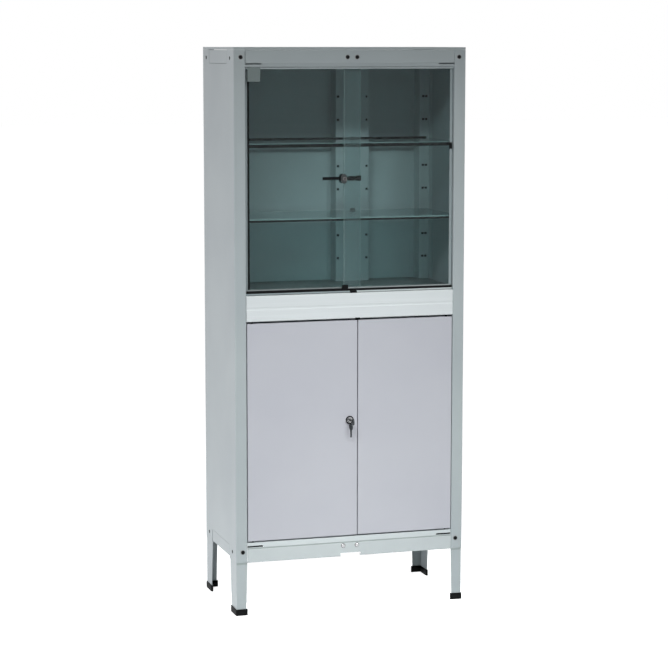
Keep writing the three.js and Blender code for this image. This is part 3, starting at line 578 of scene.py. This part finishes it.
for pane, body, outer in (("left_glass", "left_pane", 0), ("right_glass", "right_pane", 1)):
    low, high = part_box(pane)
    face = low.y - hairGap
    shoe = laidStrip((low.x, high.x), (shoeFoot, shoeTop), face, stripDepth, stripEase)
    addPiece(body + "_shoe", shoe, trackAluminium, body)
    inward = 1 if outer == 0 else -1
    edgeX = (low.x, high.x)[outer]
    seamX = edgeX + inward * paneStrips["channelWidth"]
    channel = laidStrip(sorted((edgeX, seamX)), stripSpan, face, stripDepth, stripEase)
    addPiece(body + "_channel", channel, channelPaint, body)
    # painted shade: on the rear pane a black strip beside the channel stands for the shaded gap by the
    # stile
    if outer == 0:
        shadeLineSpan = (seamX + paneStrips["shadeLineGap"], seamX + paneStrips["shadeLineWidth"])
        shade_line = laidStrip(shadeLineSpan, stripSpan, face, stripDepth, stripEase)
        addPiece(body + "_bead", shade_line, rubberAndShadeBlack, body)
rearLow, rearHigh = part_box("left_glass")
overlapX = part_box("right_glass")[0].x
vinylSpan = (overlapX + paneStrips["vinylInset"], rearHigh.x - paneStrips["vinylInset"])
vinyl = laidStrip(vinylSpan, stripSpan, rearLow.y - hairGap, paneStrips["vinylThickness"])
addPiece("overlap_vinyl_strip", vinyl, sealVinyl, "left_pane")

# Ground arrises down the inner edges of the panes, the front one broken by its lock and its glide
paneArris = {"width": 0.0009, "thickness": 0.0003, "clear": 0.001, "footLift": 0.006}
lockLow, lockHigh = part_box("glass_lock_body")
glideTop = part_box("right_glass_glide")[1].z + paneArris["clear"]
arrisSpans = {
    "left_glass": [(trackTop + paneArris["footLift"], stripTop)],
    "right_glass": [
        (glideTop, lockLow.z - paneArris["clear"]),
        (lockHigh.z + paneArris["clear"], stripTop),
    ],
}
for pane, body in (("left_glass", "left_pane"), ("right_glass", "right_pane")):
    low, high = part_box(pane)
    x0 = high.x - paneArris["width"] if pane == "left_glass" else low.x
    arrises = []
    for span in arrisSpans[pane]:
        edgeSpan = (x0, x0 + paneArris["width"])
        arrises.append(laidStrip(edgeSpan, span, low.y - hairGap, paneArris["thickness"]))
    addPiece(body + "_arris", gathered(arrises), groundEdge, body)

# A rubber bumper on the front pane's channel, level with the upper shelf
bumper = {"width": 0.0095, "inset": 0.0005, "foot": 1.4515, "top": 1.4715, "proud": 0.0012, "ease": 0.0003}
low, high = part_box("right_glass")
bumperSpan = (high.x - bumper["width"], high.x - bumper["inset"])
bumperFace = low.y - 2 * hairGap - stripDepth
block = laidStrip(bumperSpan, (bumper["foot"], bumper["top"]), bumperFace, bumper["proud"], bumper["ease"])
addPiece("right_pane_bumper", block, rubberAndShadeBlack, "right_pane")

# Black rubber lobes on the ratchet bar where it runs behind the front pane, to keep it off the glass
barLobes = {
    "spans": ((-0.004, 0.015), (0.020, 0.0375)),
    "halfHeights": (0.007, 0.008),
    "thickness": 0.0005,
    "ease": 0.0002,
}
barLow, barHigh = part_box("glass_lock_bar")
barMiddle = (barLow.z + barHigh.z) / 2
lobes = []
for span, half in zip(barLobes["spans"], barLobes["halfHeights"]):
    heights = (barMiddle - half, barMiddle + half)
    lobes.append(laidStrip(span, heights, barLow.y - hairGap, barLobes["thickness"], barLobes["ease"]))
addPiece("ratchet_bar_lobes", gathered(lobes), rubberAndShadeBlack, "left_pane")
print("pane strips done")

# Edges of the glass shelves: a ground arris above a black strip of painted shade in front, and on the upper
# one a black strip of painted shade behind as well
shelfEdges = {
    "depth": 0.0012,
    "endInset": 0.006,
    "arris": {"glass_shelf_upper": 0.0022, "glass_shelf_lower": 0.0035},
    "shadeDrop": {"glass_shelf_upper": 0.007, "glass_shelf_lower": 0.004},
    "shadeGap": 0.0001,
    "clipGap": 0.0005,
    "rearDrop": 0.002,
    "rearRise": 0.004,
    "ease": 0.0003,
}
for shelf, drop in shelfEdges["shadeDrop"].items():
    low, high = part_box(shelf)
    span = (low.x + shelfEdges["endInset"], high.x - shelfEdges["endInset"])
    face = low.y - hairGap
    split = high.z - shelfEdges["arris"][shelf]
    arris = laidStrip(span, (split, high.z), face, shelfEdges["depth"], shelfEdges["ease"])
    addPiece(shelf + "_arris", arris, groundEdge, "case")
    # painted shade: a black strip down the shelf's front face and below it
    shadeHeights = (low.z - drop, split - shelfEdges["shadeGap"])
    edge_shade = laidStrip(span, shadeHeights, face, shelfEdges["depth"], shelfEdges["ease"])
    addPiece(shelf + "_trim", edge_shade, rubberAndShadeBlack, "case")
low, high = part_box("glass_shelf_upper")
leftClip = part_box("shelf_clip_upper_rear_left")
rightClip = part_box("shelf_clip_upper_rear_right")
# painted shade along the upper shelf's back edge
rearShadeStrips = []
for x0, x1 in ((leftClip[1].x, rightClip[0].x), (rightClip[1].x, high.x - shelfEdges["endInset"])):
    rearShadeStrips.append(
        easedStrip(
            (x0 + shelfEdges["clipGap"], high.y + hairGap, low.z - shelfEdges["rearDrop"]),
            (x1 - shelfEdges["clipGap"], high.y + shelfEdges["depth"], high.z + shelfEdges["rearRise"]),
            shelfEdges["ease"],
        )
    )
addPiece("glass_shelf_upper_rear_shade", gathered(rearShadeStrips), rubberAndShadeBlack, "case")
print("shelf edges done")

# A black ring pressed on the rim of the door lock's rosette; its black is painted shade for the rim in
# shadow
lockShadeRing = {"radius": 0.0132, "bore": 0.0092, "height": 0.0009, "roll": 0.0003, "steps": 48}
low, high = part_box("door_lock_barrel")
ringPlace = ((low.x + high.x) / 2, low.y - hairGap, (low.z + high.z) / 2)
ringProfile = [
    (lockShadeRing["bore"], 0),
    (lockShadeRing["radius"], 0),
    (lockShadeRing["radius"], lockShadeRing["height"] - lockShadeRing["roll"]),
    (lockShadeRing["radius"] - lockShadeRing["roll"], lockShadeRing["height"]),
    (lockShadeRing["bore"] + lockShadeRing["roll"], lockShadeRing["height"]),
    (lockShadeRing["bore"], lockShadeRing["height"] - lockShadeRing["roll"]),
    (lockShadeRing["bore"], 0),
]
ring = turnedProfile(ringProfile, ringPlace, (0, -1, 0), lockShadeRing["steps"])
addPiece("door_lock_shade_ring", ring, blackOxide, "left_leaf")

# The spare key hangs turned a little on its ring, as keys do
spareKey = {"turn": 13, "ease": 0.0003}
low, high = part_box("spare_key")
hangPlace = Vector(((low.x + high.x) / 2, (low.y + high.y) / 2, high.z))
keyTurn = Matrix.Rotation(math.radians(spareKey["turn"]), 4, "Z")
hang = Matrix.Translation(hangPlace) @ keyTurn @ Matrix.Translation(-hangPlace)
easedCopy("spare_key", spareKey["ease"], hang)
print("lock ring and spare key done")

# Black strips of painted shade behind the slits in the bottom rail's lip, in place of the floor seen
# through them
slitShade = {
    "set": 0.0043,
    "thickness": 0.0003,
    "length": 0.052,
    "endGap": 0.0005,
    "foot": 0.2135,
    "top": 0.2245,
}
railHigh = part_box("bottom_front_rail")[1]
shadeFace = frontY + slitShade["set"] + slitShade["thickness"]
shadeStrips = []
for side in (-1, 1):
    ends = sorted((side * railHigh.x, side * (railHigh.x - slitShade["length"])))
    span = (ends[0] + slitShade["endGap"], ends[1] - slitShade["endGap"])
    shadeStrips.append(laidStrip(span, (slitShade["foot"], slitShade["top"]), shadeFace, slitShade["thickness"]))
addPiece("rail_slit_shade", gathered(shadeStrips), rubberAndShadeBlack, "case")

# Black strips of painted shade down the inside of the rear uprights, behind their slots, so that the slots
# read dark
slotShade = {
    "foot": 1.02,
    "top": 1.70,
    "set": 0.011,  # behind the front of the single upright
    "thickness": 0.0005,
    "margin": 0.0018,
    "gap": 0.02,  # each side of the single upright's middle
}
slotShadeSpans = []
middle = (singleLow.x + singleHigh.x) / 2
half = (singleHigh.x - singleLow.x) / 2 - uprightFlange - slotShade["margin"]
low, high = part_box("rear_corner_upright_left")
slotShadeSpans.append((low.x + slotShade["margin"], high.x - uprightFlange - slotShade["margin"]))
low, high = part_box("rear_corner_upright_right")
slotShadeSpans.append((low.x + uprightFlange + slotShade["margin"], high.x - slotShade["margin"]))
slotShadeSpans.append((middle - half, middle - slotShade["gap"]))
slotShadeSpans.append((middle + slotShade["gap"], middle + half))
shadeFace = singleLow.y + slotShade["set"] + slotShade["thickness"]
shadeStrips = []
for span in slotShadeSpans:
    shadeStrips.append(laidStrip(span, (slotShade["foot"], slotShade["top"]), shadeFace, slotShade["thickness"]))
addPiece("upright_slot_shade", gathered(shadeStrips), rubberAndShadeBlack, "case")

# A grey strip of painted shade in the crease under the bottom rail's lip, where the lip's shadow falls
creaseShade = {"middleZ": 0.2130, "halfHeight": 0.0014, "endGap": 0.001, "set": 0.0003, "thickness": 0.0004}
shadeLineSpan = (-railHigh.x + creaseShade["endGap"], railHigh.x - creaseShade["endGap"])
shadeLineHeights = (
    creaseShade["middleZ"] - creaseShade["halfHeight"],
    creaseShade["middleZ"] + creaseShade["halfHeight"],
)
shadeLineFace = frontY + creaseShade["set"] + creaseShade["thickness"]
shade_line = laidStrip(shadeLineSpan, shadeLineHeights, shadeLineFace, creaseShade["thickness"])
addPiece("rail_crease_shade", shade_line, shadeLinePaint, "case")

# Grey strips of painted shadow on the front legs, under the feet of the stiles
legSeamShade = {"height": 0.007, "thickness": 0.0005, "inset": 0.0005}
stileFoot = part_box("side_panel_left")[0].z
seamShadeHeights = (stileFoot - legSeamShade["height"], stileFoot - legSeamShade["inset"])
seamShades = []
for leg in ("leg_front_left", "leg_front_right"):
    low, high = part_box(leg)
    span = (low.x + legSeamShade["inset"], high.x - legSeamShade["inset"])
    seamShades.append(laidStrip(span, seamShadeHeights, low.y - hairGap, legSeamShade["thickness"]))
addPiece("leg_seam_shade", gathered(seamShades), shadeLinePaint, "case")

# A filler in the groove along the fascia
grooveFiller = {"halfHeight": 0.0024, "endGap": 0.0005, "set": 0.0006, "thickness": 0.0003}
low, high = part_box("middle_fascia")
grooveZ = (low.z + high.z) / 2
fillerSpan = (low.x + grooveFiller["endGap"], high.x - grooveFiller["endGap"])
fillerHeights = (grooveZ - grooveFiller["halfHeight"], grooveZ + grooveFiller["halfHeight"])
fillerFace = frontY + grooveFiller["set"] + grooveFiller["thickness"]
filler = laidStrip(fillerSpan, fillerHeights, fillerFace, grooveFiller["thickness"])
addPiece("fascia_groove_filler", filler, fasciaPaint, "case")

# Painted cover strips along the lower half of the track, the left one greyer
trackCover = {"height": 0.0045, "thickness": 0.0005, "lift": 0.0002, "endGap": 0.0005, "stopGap": 0.001}
trackLow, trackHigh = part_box("bottom_glass_track")
stopLow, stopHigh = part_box("glass_stop")
coverFoot = trackLow.z + trackCover["lift"]
coverHeights = (coverFoot, coverFoot + trackCover["height"])
coverSpans = {
    "left": (trackLow.x + trackCover["endGap"], stopLow.x - trackCover["stopGap"]),
    "right": (stopHigh.x + trackCover["stopGap"], trackHigh.x - trackCover["endGap"]),
}
for side, coat in (("left", channelPaint), ("right", railPaint)):
    cover = laidStrip(coverSpans[side], coverHeights, trackLow.y - hairGap, trackCover["thickness"])
    addPiece("track_cover_" + side, cover, coat, "case")

# A rubber stop on the fascia's foot that both doors close against
doorStop = {"halfWidth": 0.008, "foot": 0.9218, "top": 0.9292, "proud": 0.0011, "ease": 0.0003}
meetX = (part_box("left_door")[1].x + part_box("right_door")[0].x) / 2
stop = easedStrip(
    (meetX - doorStop["halfWidth"], frontY - doorStop["proud"], doorStop["foot"]),
    (meetX + doorStop["halfWidth"], frontY - hairGap, doorStop["top"]),
    doorStop["ease"],
)
addPiece("door_meeting_stop", stop, rubberAndShadeBlack, "case")
print("painted shade behind slits and slots and in seams, groove filled, small rubber parts done")

# Floor, light and camera
setting = {
    "floorHalf": 40.0,
    "floorColor": "#f2f3f3",
    "floorGlow": 0.875,  # only for rays that show or mirror the floor, so it casts no light
    "worldLight": 0.16,
    "camera": (-2.0437, -6.6481, 1.7839),
    "yaw": 17.0592,
    "pitch": 7.5964,
    "roll": 0.0376,
    "sensor": 36,
    "lens": 118.01,
}
lamps = [
    {
        "name": "left softbox",
        "place": (-2.8, 0.1, 0.3),
        "target": (-0.37, 0.1, 0.3),
        "size": (1.6, 0.9),
        "power": 37.5,
        "spread": 180,
        "color": (1.0, 0.95, 0.99),
    },
    {
        "name": "front softbox",
        "place": (0.5, -3.3, 3.65),
        "target": (0, -0.4, 0.12),
        "size": (1.2, 0.4),
        "power": 10.2,
        "spread": 46,
        "color": (1.0, 1.0, 1.0),
    },
    {
        "name": "fill softbox",
        "place": (-1.8, -3.1, 3.65),
        "target": (0, -0.2, 0.4),
        "size": (1.2, 0.4),
        "power": 5.9,
        "spread": 46,
        "color": (1.0, 1.0, 1.0),
    },
]
whiteLight = (1, 1, 1, 1)
showingRays = ("Is Camera Ray", "Is Transmission Ray", "Is Glossy Ray")


def floorMaterial():
    material, tree, output = newMaterial("pale floor")[:3]
    matt = addNode(
        tree, "ShaderNodeBsdfDiffuse", values={"Color": hexColor(setting["floorColor"]), "Roughness": 0.6}
    )
    glow = addNode(
        tree, "ShaderNodeEmission", values={"Color": whiteLight, "Strength": setting["floorGlow"]}
    )
    lit = addNode(tree, "ShaderNodeAddShader", links={0: matt.outputs["BSDF"], 1: glow.outputs["Emission"]})
    mixed = addNode(
        tree,
        "ShaderNodeMixShader",
        links={0: rayOfKind(tree, showingRays), 1: matt.outputs["BSDF"], 2: lit.outputs["Shader"]},
    )
    tree.links.new(mixed.outputs["Shader"], output.inputs["Surface"])
    return material


floorMesh = bmesh.new()
bmesh.ops.create_grid(floorMesh, x_segments=1, y_segments=1, size=setting["floorHalf"])
floorData = bpy.data.meshes.new("floor")
floorMesh.to_mesh(floorData)
floorMesh.free()
floorData.materials.append(floorMaterial())
floor = bpy.data.objects.new("floor", floorData)
scene.collection.objects.link(floor)

# A world that is white to look at and lights the cabinet only faintly
world = bpy.data.worlds.new("studio")
scene.world = world
world.use_nodes = True
sky = world.node_tree
sky.nodes.clear()
dim = addNode(sky, "ShaderNodeBackground", values={"Color": whiteLight, "Strength": setting["worldLight"]})
white = addNode(sky, "ShaderNodeBackground", values={"Color": whiteLight, "Strength": 1.0})
skyMix = addNode(
    sky,
    "ShaderNodeMixShader",
    links={0: rayOfKind(sky, showingRays), 1: dim.outputs["Background"], 2: white.outputs["Background"]},
)
addNode(sky, "ShaderNodeOutputWorld", links={"Surface": skyMix.outputs["Shader"]})


def addLamp(name, place, target, size, power, spread, color):
    light = bpy.data.lights.new(name, "AREA")
    light.shape = "RECTANGLE"
    light.size, light.size_y = size
    light.energy = power
    light.color = color
    light.spread = math.radians(spread)
    lamp = bpy.data.objects.new(name, light)
    scene.collection.objects.link(lamp)
    lamp.visible_camera = False
    lamp.location = place
    lamp.rotation_euler = (Vector(target) - Vector(place)).to_track_quat("-Z", "Y").to_euler()


for lamp in lamps:
    addLamp(**lamp)

camera = bpy.data.objects.new("camera", bpy.data.cameras.new("camera"))
scene.collection.objects.link(camera)
camera.data.sensor_width = setting["sensor"]
camera.data.lens = setting["lens"]
camera.location = setting["camera"]
yaw = Matrix.Rotation(math.radians(-setting["yaw"]), 4, "Z")
pitch = Matrix.Rotation(math.radians(90 - setting["pitch"]), 4, "X")
roll = Matrix.Rotation(math.radians(setting["roll"]), 4, "Z")
camera.rotation_euler = (yaw @ pitch @ roll).to_euler()
scene.camera = camera
scene.view_settings.view_transform = "Standard"
print("stage set")
